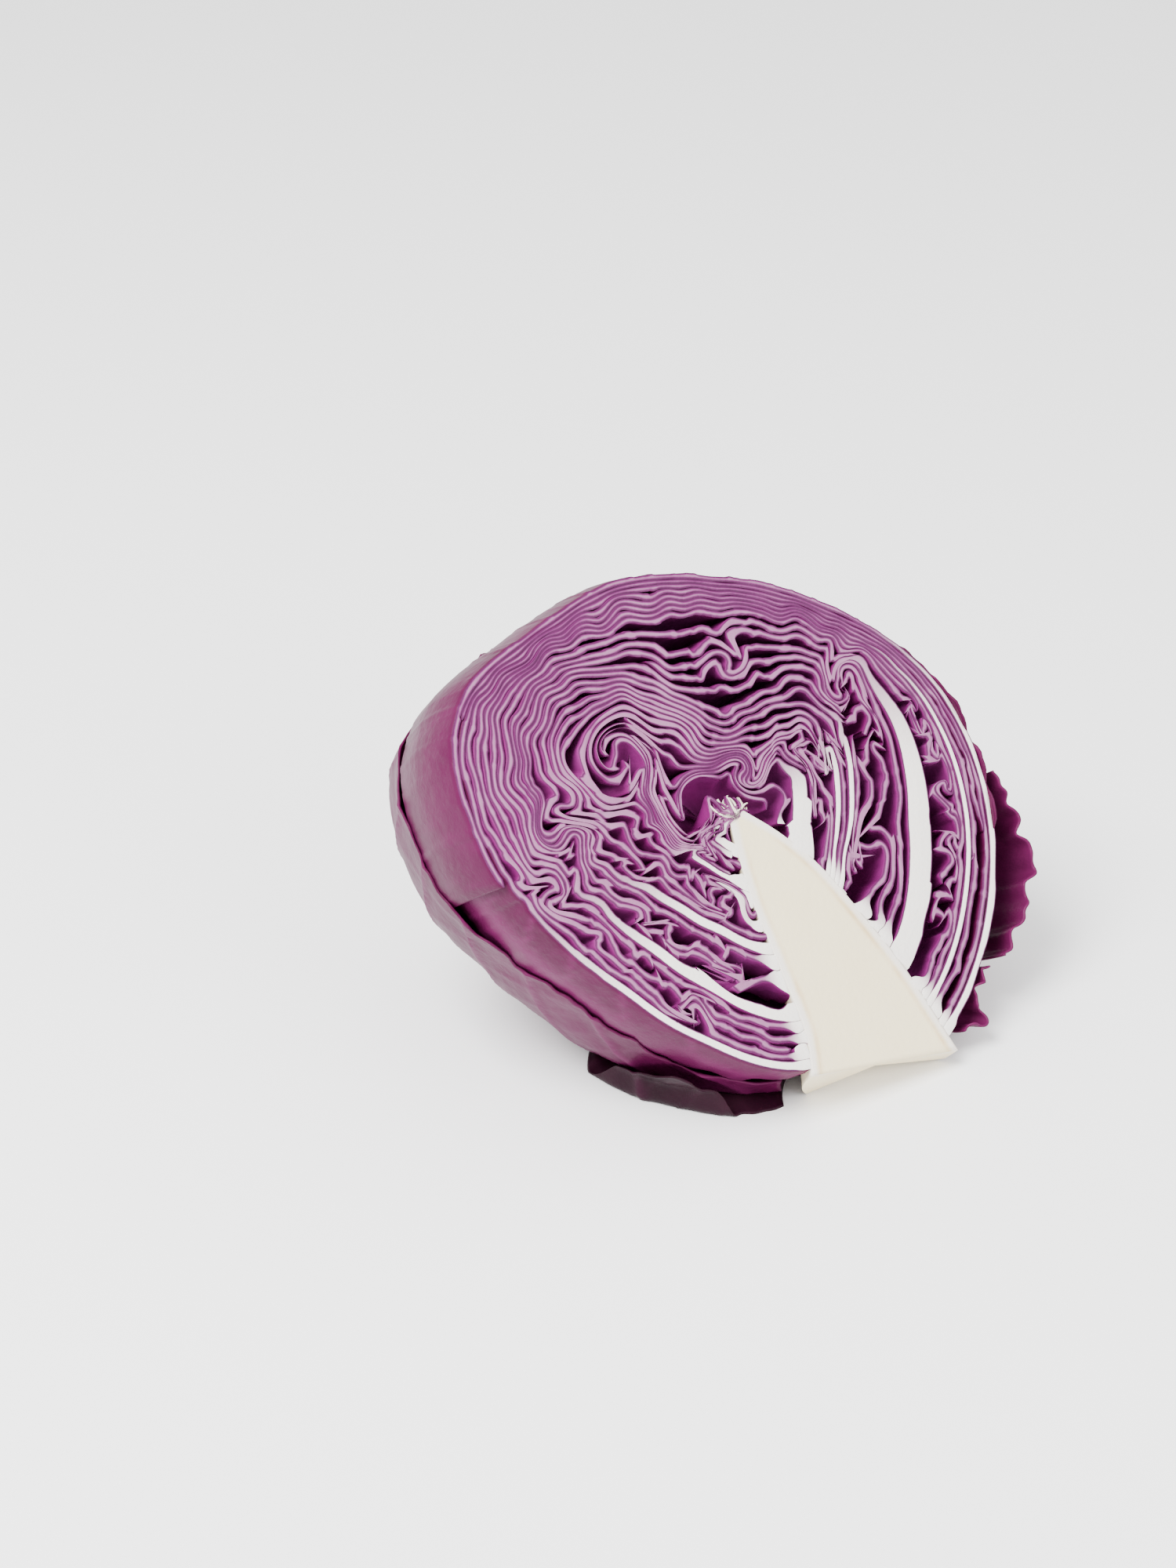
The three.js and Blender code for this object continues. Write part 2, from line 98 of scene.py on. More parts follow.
# Each ring: its level, its radius behind the tip, and its radius in each direction, in mm.
RINGS = [
    (0, 6, [
        5, 5, 5, 5, 5, 6, 8, 10, 10, 8, 6, 5,
        4, 4, 4, 4, 5, 5, 5, 5, 5, 5, 5, 5,
    ]),
    (1, 10, [
        9, 9, 8.5, 8.5, 9.5, 12, 17, 23, 25, 20, 13, 10,
        8, 7, 7, 7.5, 9, 11, 11, 10, 10, 10, 11, 11,
    ]),
    (2, 16, [
        13, 13, 12, 12, 13.5, 17, 26, 31, 33, 27, 20, 15,
        12, 11, 10.5, 12, 15, 24, 25, 22, 20, 21.5, 23, 23,
    ]),
    (3, 30, [
        19, 19, 16, 16, 18, 23, 34, 46, 56, 54, 51, 43,
        27, 19, 18, 19, 25, 32, 33, 30, 28, 28, 30, 30,
    ]),
    (4, 42, [
        36, 36, 31, 31.5, 36, 46, 57, 64, 66, 65, 62, 55,
        42, 31, 28.5, 34, 47, 50, 47, 42, 39, 36, 38, 38,
    ]),
    (5, 51, [
        47, 47, 42, 42, 46, 53, 61, 68, 70.5, 70, 66, 61,
        53, 47, 48, 54, 59, 62, 64, 61, 58, 59, 60, 60,
    ]),
    (6, 56, [
        55, 55, 47, 46, 50, 58, 67, 73, 75.5, 74, 70, 66,
        60, 57, 57, 60, 63, 67, 70, 70.5, 70, 69, 69, 69,
    ]),
    (7, 65.5, [
        68, 68, 61.5, 60.5, 66, 73, 80, 84, 84.5, 81, 75, 71,
        69, 66, 64, 65.5, 68, 74, 79, 81, 81, 80, 80, 80,
    ]),
    (8, 68, [
        71, 71, 64, 63, 68.5, 75.5, 82, 86, 87, 84, 77.5, 73.5,
        71.5, 68.5, 66.5, 68, 70.5, 76, 81.5, 84, 84.5, 84, 84, 84,
    ]),
]
# Each leaf of the head: name, level, first and last direction, side of the cut midrib, its thickness.
LEAVES = [
    ("tip_leaf_left", 1, 268, -15, "left", 4),
    ("tip_leaf_back", 1.45, 225, -30, None, 0),
    ("tip_leaf_right", 2, 268, -88, "right", 8),
    ("heart_leaf_1", 2.2, 180, 15, None, 0),
    ("heart_leaf_2", 2.4, 200, 0, None, 0),
    ("heart_leaf_3", 2.6, 200, -15, None, 0),
    ("heart_leaf_4", 2.8, 225, -15, None, 0),
    ("arched_leaf_left", 3, 268, -60, "left", 3),
    ("inner_leaf_1", 3.2, 268, -60, None, 0),
    ("inner_leaf_2", 3.4, 268, -88, "right", 2.6),
    ("inner_leaf_3", 3.6, 268, -60, None, 0),
    ("inner_leaf_4", 3.8, 268, -88, "right", 3),
    ("middle_leaf_left", 4, 268, -60, "left", 6),
    ("inner_leaf_5", 4.3, 268, -88, None, 0),
    ("inner_leaf_6", 4.55, 90, -88, None, 0),
    ("inner_leaf_7", 4.75, 268, -88, None, 0),
    ("middle_leaf_right", 5, 225, -88, "right", 11),
    ("inner_leaf_8", 5.5, 165, 15, None, 0),
    ("lower_leaf_left", 6, 268, -45, "left", 4.5),
    ("inner_leaf_9", 6.2, 268, -88, None, 0),
    ("inner_leaf_10", 6.4, 268, -88, None, 0),
    ("lower_leaf_right", 6.6, 250, -88, "right", 4),
    ("inner_leaf_11", 6.8, 268, -88, None, 0),
    ("outer_leaf_left", 7, 268, -30, "left", 3.5),
    ("outer_leaf_back", 7.5, 133, -88, None, 0),
    ("outer_leaf_right", 8, 165, -88, "right", 3),
]
OUTERMOST = ("outer_leaf_left", "outer_leaf_back", "outer_leaf_right")
# Crumpled places on the cut face: x, y, spread.
CRUMPLED = [
    (-18, -14, 8), (-28, 4, 8), (-30, -32, 8), (-40, -12, 8), (-52, 8, 8), (-45, -36, 8), (-60, -8, 7),
    (-64, 18, 7), (24, -10, 6), (35, 5, 9), (33, -25, 9), (50, 0, 8), (55, 18, 8), (42, -57, 7),
    (60, -42, 8), (70, -25, 7), (74, -5, 6), (-25, 25, 13), (-45, 25, 9), (-12, 8, 6), (25, 38, 8),
]
# Places where the leaves are rolled up: x, y, spread, turns in radians.
ROLLED = [
    (-23, 31, 9, 4.6), (-17, -15, 6, 2.6), (-31, -33, 6, -2.4), (33, -27, 7.5, 3.2), (36, 4, 7, -2.4),
    (-50, 22, 6, 2.0), (55, 14, 6, 2.2), (-47, -36, 5, 2.0), (62, -43, 5, -2.2), (-62, 12, 5, -2.0),
    (-9, 9, 7, 3.4), (9, 9, 5.5, -2.8),
]
FINE_DIRECTIONS = np.arange(-88, 269, 1.0)
RING_BLUR = 4.0  # degrees


def smooth(t):
    """Ease from 0 to 1: three t squared less two t cubed."""
    t = np.clip(t, 0, 1)
    return t * t * (3 - 2 * t)


def ring_table():
    """Radius of each ring in each fine direction: straight lines between the given ones, then blurred."""
    offsets = np.arange(-12, 13)
    weights = np.exp(-0.5 * (offsets / RING_BLUR) ** 2)
    weights /= weights.sum()
    rows = []
    for _, _, radii in RINGS:
        row = np.interp(FINE_DIRECTIONS, DIRECTIONS[::-1], radii[::-1])
        rows.append(np.convolve(np.pad(row, 12, mode="edge"), weights, mode="valid"))
    return np.array(rows)


RING_TABLE = ring_table()
RING_LEVELS = np.array([r[0] for r in RINGS], float)
RING_BEHIND = np.array([r[1] for r in RINGS], float)


def ring_radius(level, alpha):
    """Radius at a level and direction: linear between the table's rings and between its directions."""
    level = np.broadcast_to(level, np.shape(alpha))
    i = np.clip(np.searchsorted(RING_LEVELS, level, side="right") - 1, 0, len(RING_LEVELS) - 2)
    t = (level - RING_LEVELS[i]) / (RING_LEVELS[i + 1] - RING_LEVELS[i])
    place = np.clip(alpha - FINE_DIRECTIONS[0], 0, len(FINE_DIRECTIONS) - 1.001)
    j = place.astype(int)
    f = place - j
    low = RING_TABLE[i, j] * (1 - f) + RING_TABLE[i, j + 1] * f
    high = RING_TABLE[i + 1, j] * (1 - f) + RING_TABLE[i + 1, j + 1] * f
    return low * (1 - t) + high * t


def ring_behind(level):
    """Radius straight behind the tip at a level."""
    return np.interp(level, RING_LEVELS, RING_BEHIND)


def press(points, floor):
    """Points below their floor are drawn towards the tip until they lie on it."""
    below = points @ DOWN
    scale = np.where(below > floor, floor / np.maximum(below, 1e-6), 1.0)
    return points * scale[..., None]


def dome(x, y, turn, behind):
    """Carries points of the face back over the dome. turn is 0 on the face and 1 behind the tip: a point
    swings on an arc whose radius blends from its own distance from the tip to the one behind it."""
    radius = np.hypot(x, y)
    start = -math.atan(BULGE)
    angle = start + (math.pi / 2 - start) * turn
    r = radius + (behind - radius) * smooth(turn)
    flat = r * DOME * np.cos(angle)
    back = r * (DOME * np.sin(angle) + BULGE)
    scale = flat / np.maximum(radius, 1e-6)
    return np.stack([x * scale, y * scale, -back], axis=-1)


def wave(rng, length, wavelength):
    """Smooth noise along a line: three sines with random phases near one wavelength."""
    s = np.asarray(length)
    total = np.zeros_like(s, float)
    for factor, weight in ((1.0, 0.6), (1.9, 0.4), (0.45, 0.5)):
        total += weight * np.sin(2 * np.pi * s * factor / wavelength + rng.uniform(0, 2 * np.pi))
    return total


# ---------- the folding of the leaves ----------
CORE_LEFT = np.array([(-2, 2), (-5.5, -8), (-9.5, -22), (-12.5, -40), (-16, -58), (-21, -68)], float)
CORE_RIGHT = np.array([(2.5, 2), (10, -10), (16, -24), (20, -42), (23, -60), (24.5, -87)], float)


def blurred_noise(rng, size, cells):
    """White noise on a square grid, blurred to a given size of blob, with unit spread."""
    noise = np.fft.rfft2(rng.standard_normal((size, size)))
    fy = np.fft.fftfreq(size)[:, None]
    fx = np.fft.rfftfreq(size)[None, :]
    band = np.exp(-2 * (math.pi * cells) ** 2 * (fx ** 2 + fy ** 2))
    field = np.fft.irfft2(noise * band, s=(size, size))
    return field / field.std()


def fold_field(seed, strength):
    """Velocity that folds the leaves, on a grid over the cut face: the curl of a stream function, so
    that layers bend and roll but never cross. The stream function is noise where the leaves crumple,
    a round hump where they roll up, and nothing in the core, the midribs and outside the head."""
    rng = np.random.default_rng(seed)
    axis = np.arange(-FACE_HALF_SPAN, FACE_HALF_SPAN + FIELD_PITCH, FIELD_PITCH)
    x, y = np.meshgrid(axis, axis)
    radius = np.hypot(x, y)
    alpha = np.degrees(np.arctan2(y, x))
    alpha = np.where(alpha < -90, alpha + 360, alpha)
    amount = np.full(x.shape, 0.3)
    for cx, cy, spread in CRUMPLED:
        amount = np.maximum(amount, np.exp(-((x - cx) ** 2 + (y - cy) ** 2) / (2 * spread ** 2)))
    coarse = blurred_noise(rng, len(axis), COARSE_FOLD / FIELD_PITCH)
    fine = blurred_noise(rng, len(axis), FINE_FOLD / FIELD_PITCH)
    stream = strength * amount * (10.0 * coarse + 4.2 * amount * fine)
    for cx, cy, spread, turns in ROLLED:
        stream += 0.5 * turns * spread ** 2 * np.exp(-((x - cx) ** 2 + (y - cy) ** 2) / spread ** 2)
    still = smooth((ring_radius(8.0, alpha) - radius) / 5)
    for name, level, first, last, side, thick in LEAVES:
        if side is None:
            continue
        along = (alpha - 160) / 25 if side == "left" else (22 - alpha) / 20
        off = np.abs(radius - ring_radius(float(level), alpha)) - thick / 2
        still *= 1 - smooth(along) * (1 - smooth(off / 2.5))
    still *= smooth(beside_core(x, y) / 4)
    stream *= still
    dy, dx = np.gradient(stream, FIELD_PITCH)
    return np.stack([dy, -dx], axis=-1)


def flow(field, x, y, share, steps=28):
    """Moves points along the folding velocity for a share of its time, in midpoint steps."""
    size = field.shape[0]

    def sample(px, py):
        gx = np.clip((px + FACE_HALF_SPAN) / FIELD_PITCH, 0, size - 1.001)
        gy = np.clip((py + FACE_HALF_SPAN) / FIELD_PITCH, 0, size - 1.001)
        i, j = gy.astype(int), gx.astype(int)
        fy, fx = (gy - i)[..., None], (gx - j)[..., None]
        low = field[i, j] * (1 - fx) + field[i, j + 1] * fx
        high = field[i + 1, j] * (1 - fx) + field[i + 1, j + 1] * fx
        return low * (1 - fy) + high * fy

    dt = np.asarray(share)[..., None] / steps
    p = np.stack([x, y], axis=-1)
    for _ in range(steps):
        half = p + 0.5 * dt * sample(p[..., 0], p[..., 1])
        p = p + dt * sample(half[..., 0], half[..., 1])
    return p[..., 0], p[..., 1]


# ---------- mesh making ----------
def build_mesh(name, points, faces, face_material, materials, attributes, sharp=()):
    """A mesh object from points in head millimetres, and lists of quads and triangles as index arrays."""
    world = (TIP + points.reshape(-1, 3) @ HEAD_AXES.T) * MM
    mesh = bpy.data.meshes.new(name)
    mesh.vertices.add(len(world))
    mesh.vertices.foreach_set("co", world.astype(np.float32).ravel())
    loops = np.concatenate([f.ravel() for f in faces])
    counts = np.concatenate([np.full(len(f), f.shape[1]) for f in faces])
    mesh.loops.add(len(loops))
    mesh.loops.foreach_set("vertex_index", loops.astype(np.int32))
    mesh.polygons.add(len(counts))
    starts = np.concatenate([[0], np.cumsum(counts)[:-1]])
    mesh.polygons.foreach_set("loop_start", starts.astype(np.int32))
    slots = np.concatenate([np.full(len(f), m) for f, m in zip(faces, face_material)])
    mesh.polygons.foreach_set("material_index", slots.astype(np.int32))
    mesh.polygons.foreach_set("use_smooth", ~np.isin(slots, list(sharp)))
    for key, values in attributes.items():
        layer = mesh.attributes.new(key, "FLOAT", "POINT")
        layer.data.foreach_set("value", np.asarray(values, np.float32).ravel())
    for material in materials:
        mesh.materials.append(material)
    mesh.update(calc_edges=True)
    mesh.validate()
    piece = bpy.data.objects.new(name, mesh)
    bpy.context.scene.collection.objects.link(piece)
    return piece


def grid_quads(index, flip=False):
    """Quads over a grid of vertex numbers."""
    a, b, c, d = index[:-1, :-1], index[1:, :-1], index[1:, 1:], index[:-1, 1:]
    quads = np.stack([a, b, c, d] if not flip else [a, d, c, b], axis=-1)
    return quads.reshape(-1, 4)


def sheet_faces(a, b, flip):
    """Faces of a thin closed sheet between two grids of vertex numbers: both sides, then the rims."""
    rims = (
        np.stack([b[0], a[0]]),
        np.stack([a[-1], b[-1]]),
        np.stack([a[:, 0], b[:, 0]]),
        np.stack([b[:, -1], a[:, -1]]),
    )
    return [grid_quads(a, flip), grid_quads(b, not flip), *(grid_quads(rim, flip) for rim in rims)]


def finish_piece(piece, slot, *nodes):
    """Rides the piece on the one body, and lets it stand for its CAD nodes."""
    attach(piece, "root")
    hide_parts(*nodes)


def settings():
    """The head's settings in the current scene."""
    return bpy.context.scene.cabbage_head


# ---------- materials ----------
# Outer skin, vein and bloom colours made several times darker: painted shade for the wrapper leaf that lies
# under the head on the floor.
PAINTED_SHADE_SKIN = (0.010, 0.0008, 0.005)
PAINTED_SHADE_VEIN = (0.03, 0.003, 0.016)
PAINTED_SHADE_BLOOM = (0.035, 0.018, 0.02)
INNER_VEIN = (0.26, 0.03, 0.20)
INNER_BLOOM = (0.24, 0.05, 0.19)


def new_material(name):
    """An empty node material: its nodes, a link function, and its shader."""
    material = bpy.data.materials.new(name)
    material.use_nodes = True
    nodes = material.node_tree.nodes
    shader = nodes["Principled BSDF"]
    return material, nodes, material.node_tree.links.new, shader


def noise_node(nodes, link, scale, detail=4.0, rough=0.55):
    """Noise on object coordinates, with its scale in cycles per metre."""
    place = nodes.new("ShaderNodeTexCoord")
    noise = nodes.new("ShaderNodeTexNoise")
    noise.inputs["Scale"].default_value = scale
    noise.inputs["Detail"].default_value = detail
    noise.inputs["Roughness"].default_value = rough
    link(place.outputs["Object"], noise.inputs["Vector"])
    return noise.outputs["Fac"]


def attribute_node(nodes, name):
    """A point attribute of the piece as a number."""
    node = nodes.new("ShaderNodeAttribute")
    node.attribute_name = name
    return node.outputs["Fac"]


def ramp_node(nodes, link, value, stops):
    """A colour ramp with the given stops: place and colour."""
    ramp = nodes.new("ShaderNodeValToRGB")
    elements = ramp.color_ramp.elements
    while len(elements) < len(stops):
        elements.new(0.5)
    for element, (place, color) in zip(elements, stops):
        element.position = place
        element.color = (*color, 1)
    link(value, ramp.inputs["Fac"])
    return ramp.outputs["Color"]


def mix_node(nodes, link, amount, first, second):
    """Mixes two colours, each a socket or a plain colour, by an amount that is a socket or a number."""
    mix = nodes.new("ShaderNodeMix")
    mix.data_type = "RGBA"
    for value, socket in ((amount, mix.inputs[0]), (first, mix.inputs[6]), (second, mix.inputs[7])):
        if isinstance(value, bpy.types.NodeSocket):
            link(value, socket)
        else:
            socket.default_value = value if isinstance(value, float) else (*value, 1)
    return mix.outputs[2]


def math_node(nodes, link, operation, first, second=0.0, third=0.0):
    """One sum of numbers, each a socket or a plain number, clamped to 0 to 1."""
    node = nodes.new("ShaderNodeMath")
    node.operation = operation
    node.use_clamp = True
    for value, socket in zip((first, second, third), node.inputs):
        if isinstance(value, bpy.types.NodeSocket):
            link(value, socket)
        else:
            socket.default_value = value
    return node.outputs[0]


def bump_node(nodes, link, shader, height, distance, strength=1.0):
    """Bump from a height, with its depth in metres."""
    bump = nodes.new("ShaderNodeBump")
    bump.inputs["Distance"].default_value = distance
    bump.inputs["Strength"].default_value = strength
    link(height, bump.inputs["Height"])
    link(bump.outputs["Normal"], shader.inputs["Normal"])


def cut_leaf_material():
    """Freshly cut leaf: a thin dark skin on both sides, mottled pale flesh within, white in midribs."""
    s = settings()
    material, nodes, link, shader = new_material("cut_leaf")
    inside = attribute_node(nodes, "inside_mm")
    pale = attribute_node(nodes, "pale")
    patches = noise_node(nodes, link, 160)
    grain = noise_node(nodes, link, 900, 2.0)
    centred = math_node(nodes, link, "SUBTRACT", inside, 0.08)
    inside = math_node(nodes, link, "MULTIPLY_ADD", grain, 0.16, centred)
    flesh = ramp_node(nodes, link, inside, [
        (0.0, s.skin_color), (0.30, s.skin_color), (0.48, s.blush_color), (0.82, s.flesh_color),
        (1.0, s.flesh_color)])
    tinted = mix_node(nodes, link, math_node(nodes, link, "MULTIPLY", patches, 0.5), flesh, s.blush_color)
    white = ramp_node(nodes, link, inside, [
        (0.0, s.skin_color), (0.16, s.skin_color), (0.3, s.blush_color), (0.5, s.rib_color),
        (1.0, s.rib_color)])
    color = mix_node(nodes, link, pale, tinted, white)
    link(color, shader.inputs["Base Color"])
    shader.inputs["Roughness"].default_value = 0.42
    shader.inputs["Specular IOR Level"].default_value = 0.2
    shader.inputs["Coat Weight"].default_value = 0.05
    shader.inputs["Coat Roughness"].default_value = 0.2
    bump_node(nodes, link, shader, grain, 0.0004, 0.5)
    return material


def leaf_skin_material(name, base, light, bloom, bloom_amount):
    """Leaf skin: purple with paler veins, and a waxy bloom that lies in patches."""
    material, nodes, link, shader = new_material(name)
    vein = attribute_node(nodes, "vein")
    patches = noise_node(nodes, link, 38, 5.0, 0.6)
    grain = noise_node(nodes, link, 420, 3.0)
    black, white = (0, 0, 0), (1, 1, 1)
    lighter = tuple(0.55 * b + 0.45 * l for b, l in zip(base, light))
    mottle = ramp_node(nodes, link, patches, [(0.3, black), (0.7, white)])
    blades = mix_node(nodes, link, mottle, base, lighter)
    veined = mix_node(nodes, link, vein, blades, light)
    cover = ramp_node(nodes, link, patches, [(0.42, black), (0.72, white)])
    cover = math_node(nodes, link, "MULTIPLY", cover, bloom_amount)
    dust = math_node(nodes, link, "MULTIPLY", grain, 0.12)
    cover = math_node(nodes, link, "MULTIPLY_ADD", cover, 0.7, dust)
    color = mix_node(nodes, link, cover, veined, bloom)
    link(color, shader.inputs["Base Color"])
    shader.inputs["Roughness"].default_value = 0.4
    shader.inputs["Specular IOR Level"].default_value = 0.09
    bump_node(nodes, link, shader, noise_node(nodes, link, 260, 4.0), 0.0005, 0.6)
    return material


def core_material():
    """Cream pith with yellowish lines where the sap vessels run, fibres along it, and a moist surface."""
    s = settings()
    material, nodes, link, shader = new_material("core_flesh")
    vessel = attribute_node(nodes, "vessel")
    pith = attribute_node(nodes, "pith")
    patches = noise_node(nodes, link, 90, 4.0)
    flesh = mix_node(nodes, link, pith, s.rib_color, s.core_color)
    shade = math_node(nodes, link, "MULTIPLY", patches, 0.35)
    shaded = mix_node(nodes, link, shade, flesh, (0.74, 0.60, 0.36))
    broken = math_node(nodes, link, "MULTIPLY_ADD", patches, 1.6, -0.35)
    line = math_node(nodes, link, "MULTIPLY", vessel, broken)
    lined = mix_node(nodes, link, line, shaded, (0.60, 0.40, 0.15))
    link(lined, shader.inputs["Base Color"])
    shader.inputs["Roughness"].default_value = 0.45
    shader.inputs["Coat Weight"].default_value = 0.1
    bump_node(nodes, link, shader, noise_node(nodes, link, 600, 3.0), 0.0003, 0.5)
    return material


def material_of(name):
    """A leaf's material by name, made once."""
    s = settings()
    made = bpy.data.materials.get(name)
    if made:
        return made
    if name == "cut_leaf":
        return cut_leaf_material()
    if name == "core_flesh":
        return core_material()
    if name == "outer_skin":
        return leaf_skin_material(name, s.outer_color, s.vein_color, s.bloom_color, 0.22)
    # the darker skin is painted shade for the wrapper leaf under the head
    if name == "painted_shade_skin":
        return leaf_skin_material(name, PAINTED_SHADE_SKIN, PAINTED_SHADE_VEIN, PAINTED_SHADE_BLOOM, 0.3)
    return leaf_skin_material(name, s.inner_color, INNER_VEIN, INNER_BLOOM, 0.3)


# ---------- the leaves of the head ----------
TURNS = np.array([0, 0.012, 0.035, 0.07, 0.12, 0.22, 0.42, 0.7])
COLUMN_STEP = 0.72  # from one column of a leaf's mesh to the next, along its folds
FEWEST_COLUMNS = 12
UNFOLDED_SHARE = 0.35  # weight of the unfolded ring's length when the columns are spread
FOLD_DEPTH = 11.0  # depth behind the cut at which the folds have died out by half
ARC_LENGTH = 1.77  # length of the dome's arc from the face to the back, for a ring of radius 1
DRIFT = 0.22  # how far a leaf wanders from its ring, as a share of the room
FACE_LIFT = 0.16  # how far cut edges stand proud of or below the cut, by turns
ACROSS = np.array([1.0, 0.62, 0.0, -0.62, -1.0])
BACK_HALF = (0.4, -0.4)  # outer and inner skin of a leaf straight behind the tip, from its ring
WRAPPER_ROOM = 5.6  # from the resting surface to the head's outermost leaf
PRESSED_PITCH = 2.0  # from leaf to leaf where the half's weight presses them flat
PRESSED_LEAF = 1.4  # thickness of a leaf there
VEIN_SPACING = 21.0
FLARE = 3.5  # how much thicker a leaf's base is where it joins the core
FLARE_REACH = 6.0


def vein_pattern(reach, beside):
    """Veins of a leaf, 0 to 1. reach is the distance up the midrib and beside the distance from it, in mm:
    a tapering midrib, side veins that leave it slantwise at even steps, and a faint net between."""
    off = np.abs(beside)
    midrib = np.exp(-(off / np.maximum(3.6 - reach / 50, 0.8)) ** 2)
    bent = reach - 0.95 * off ** 0.93 + 4 * np.sign(beside) + 2.5 * np.sin(off / 11)
    between = np.abs((bent / VEIN_SPACING) % 1 - 0.5) * VEIN_SPACING
    side = np.exp(-((between / 1.35) ** 2)) * smooth((95 - off) / 40)
    net = np.exp(-((np.abs(((bent * 0.6 + off * 1.1) / 8.5) % 1 - 0.5) * 8.5) / 0.8) ** 2)
    return np.clip(np.maximum(midrib, np.maximum(0.7 * side, 0.22 * net)), 0, 1)


def spans(entry, alpha):
    """Where a leaf exists along the directions."""
    return (alpha <= entry[2]) & (alpha >= entry[3])


def level_gaps(index, alpha):
    """Halfway levels to the next leaf inwards and outwards that exists in each direction."""
    level = LEAVES[index][1]
    inner = np.full(alpha.shape, level - 1.0)
    outer = np.full(alpha.shape, level + 1.0)
    for other in LEAVES[:index]:
        inner = np.where(spans(other, alpha), np.maximum(inner, other[1]), inner)
    for other in LEAVES[index + 1:][::-1]:
        outer = np.where(spans(other, alpha), other[1], outer)
    return (level + inner) / 2, (level + outer) / 2


def beside_core(x, y):
    """Distance from the core's edges on the cut face, negative inside the core."""
    left = np.interp(-y, -CORE_LEFT[:, 1], CORE_LEFT[:, 0])
    right = np.interp(-y, -CORE_RIGHT[:, 1], CORE_RIGHT[:, 0])
    return np.where(y < 2, np.maximum(left - x, x - right), np.hypot(x, y - 2) + 2)


def leaf_surfaces(index, field, blade, rng):
    """The outer and inner skin of a leaf as grids of points in head millimetres, from the face to the
    back. The leaf's own ring and the halfway rings to its neighbours are carried by the same folding,
    and the skins stand off the leaf's ring by half its thickness, or as far as there is room."""
    name, level, first, last, side, thick = LEAVES[index]
    last = max(last, LAST_DIRECTION)
    dense = np.arange(last, first + 0.01, 0.15)
    radius = ring_radius(float(level), dense)
    angle = np.radians(dense)
    x, y = flow(field, radius * np.cos(angle), radius * np.sin(angle), np.ones(dense.shape))
    arc = np.concatenate([[0], np.cumsum(np.hypot(np.diff(x), np.diff(y)))])
    arc += UNFOLDED_SHARE * np.concatenate([[0], np.cumsum(np.diff(dense) * math.pi / 180 * radius[1:])])
    count = max(int(arc[-1] / COLUMN_STEP), FEWEST_COLUMNS)
    alpha = np.interp(np.linspace(0, arc[-1], count), arc, dense)
    low, high = level_gaps(index, alpha)
    along = ring_radius(float(level), alpha).mean() * np.radians(alpha)
    drift = DRIFT * wave(rng, along, 26)
    own = level + drift * np.where(drift > 0, high - level, level - low)
    low = own + (low - own) * 0.96
    high = own + (high - own) * 0.96
    depth = ARC_LENGTH * ring_radius(own, alpha)[None, :] * TURNS[:, None]
    shares = 1 / (1 + (depth / FOLD_DEPTH) ** 2)
    grids = []
    for lev in (own, low, high):
        r = ring_radius(lev, alpha)
        gx = np.broadcast_to(r * np.cos(np.radians(alpha)), shares.shape)
        gy = np.broadcast_to(r * np.sin(np.radians(alpha)), shares.shape)
        grids.append(np.stack(flow(field, gx, gy, shares), axis=-1))
    centre, inside, outside = grids
    tangent = np.gradient(centre, axis=1)
    tangent /= np.maximum(np.linalg.norm(tangent, axis=-1, keepdims=True), 1e-6)
    normal = np.stack([tangent[..., 1], -tangent[..., 0]], axis=-1)
    bulges = 0.82 + 0.3 * np.clip(wave(rng, along, 7.5), 0, 1) ** 2
    small = np.interp(level, [1, 3, 5], [0.62, 0.85, 1.0])
    half = 0.5 * blade * small * bulges
    rib = np.zeros(alpha.shape)
    if side == "left":
        rib = smooth((alpha - 165) / 45)
    elif side == "right":
        rib = smooth((20 - alpha) / 38)
    half = half + (thick / 2 - half) * rib
    ends = [first, last] if side is None else [last] if side == "left" else [first]
    for end in ends:
        half = half * np.sqrt(smooth(np.abs(alpha - end) * np.pi / 180 * radius.mean() / 3) * 0.97 + 0.03)
    grown = np.ones(alpha.shape)
    if side is not None:
        grown = smooth((alpha - 160) / 30 if side == "left" else (20 - alpha) / 30)
    beside = beside_core(centre[0, :, 0], centre[0, :, 1])
    half = half + FLARE * grown * np.clip(1 - beside / FLARE_REACH, 0, 1.3) ** 2
    half = half[None, :] * (1 - 0.72 * rib[None, :] * smooth(TURNS * 3.5)[:, None])
    skins = []
    for edge in (outside, inside):
        reach = edge - centre
        room = np.abs((reach * normal).sum(-1))
        share = np.minimum(1, half / np.maximum(room, 1e-3))
        skins.append(centre + reach * share[..., None])
    merged = grown * smooth(1.15 - beside / FLARE_REACH)
    return name, alpha, own, rib, merged, skins, beside


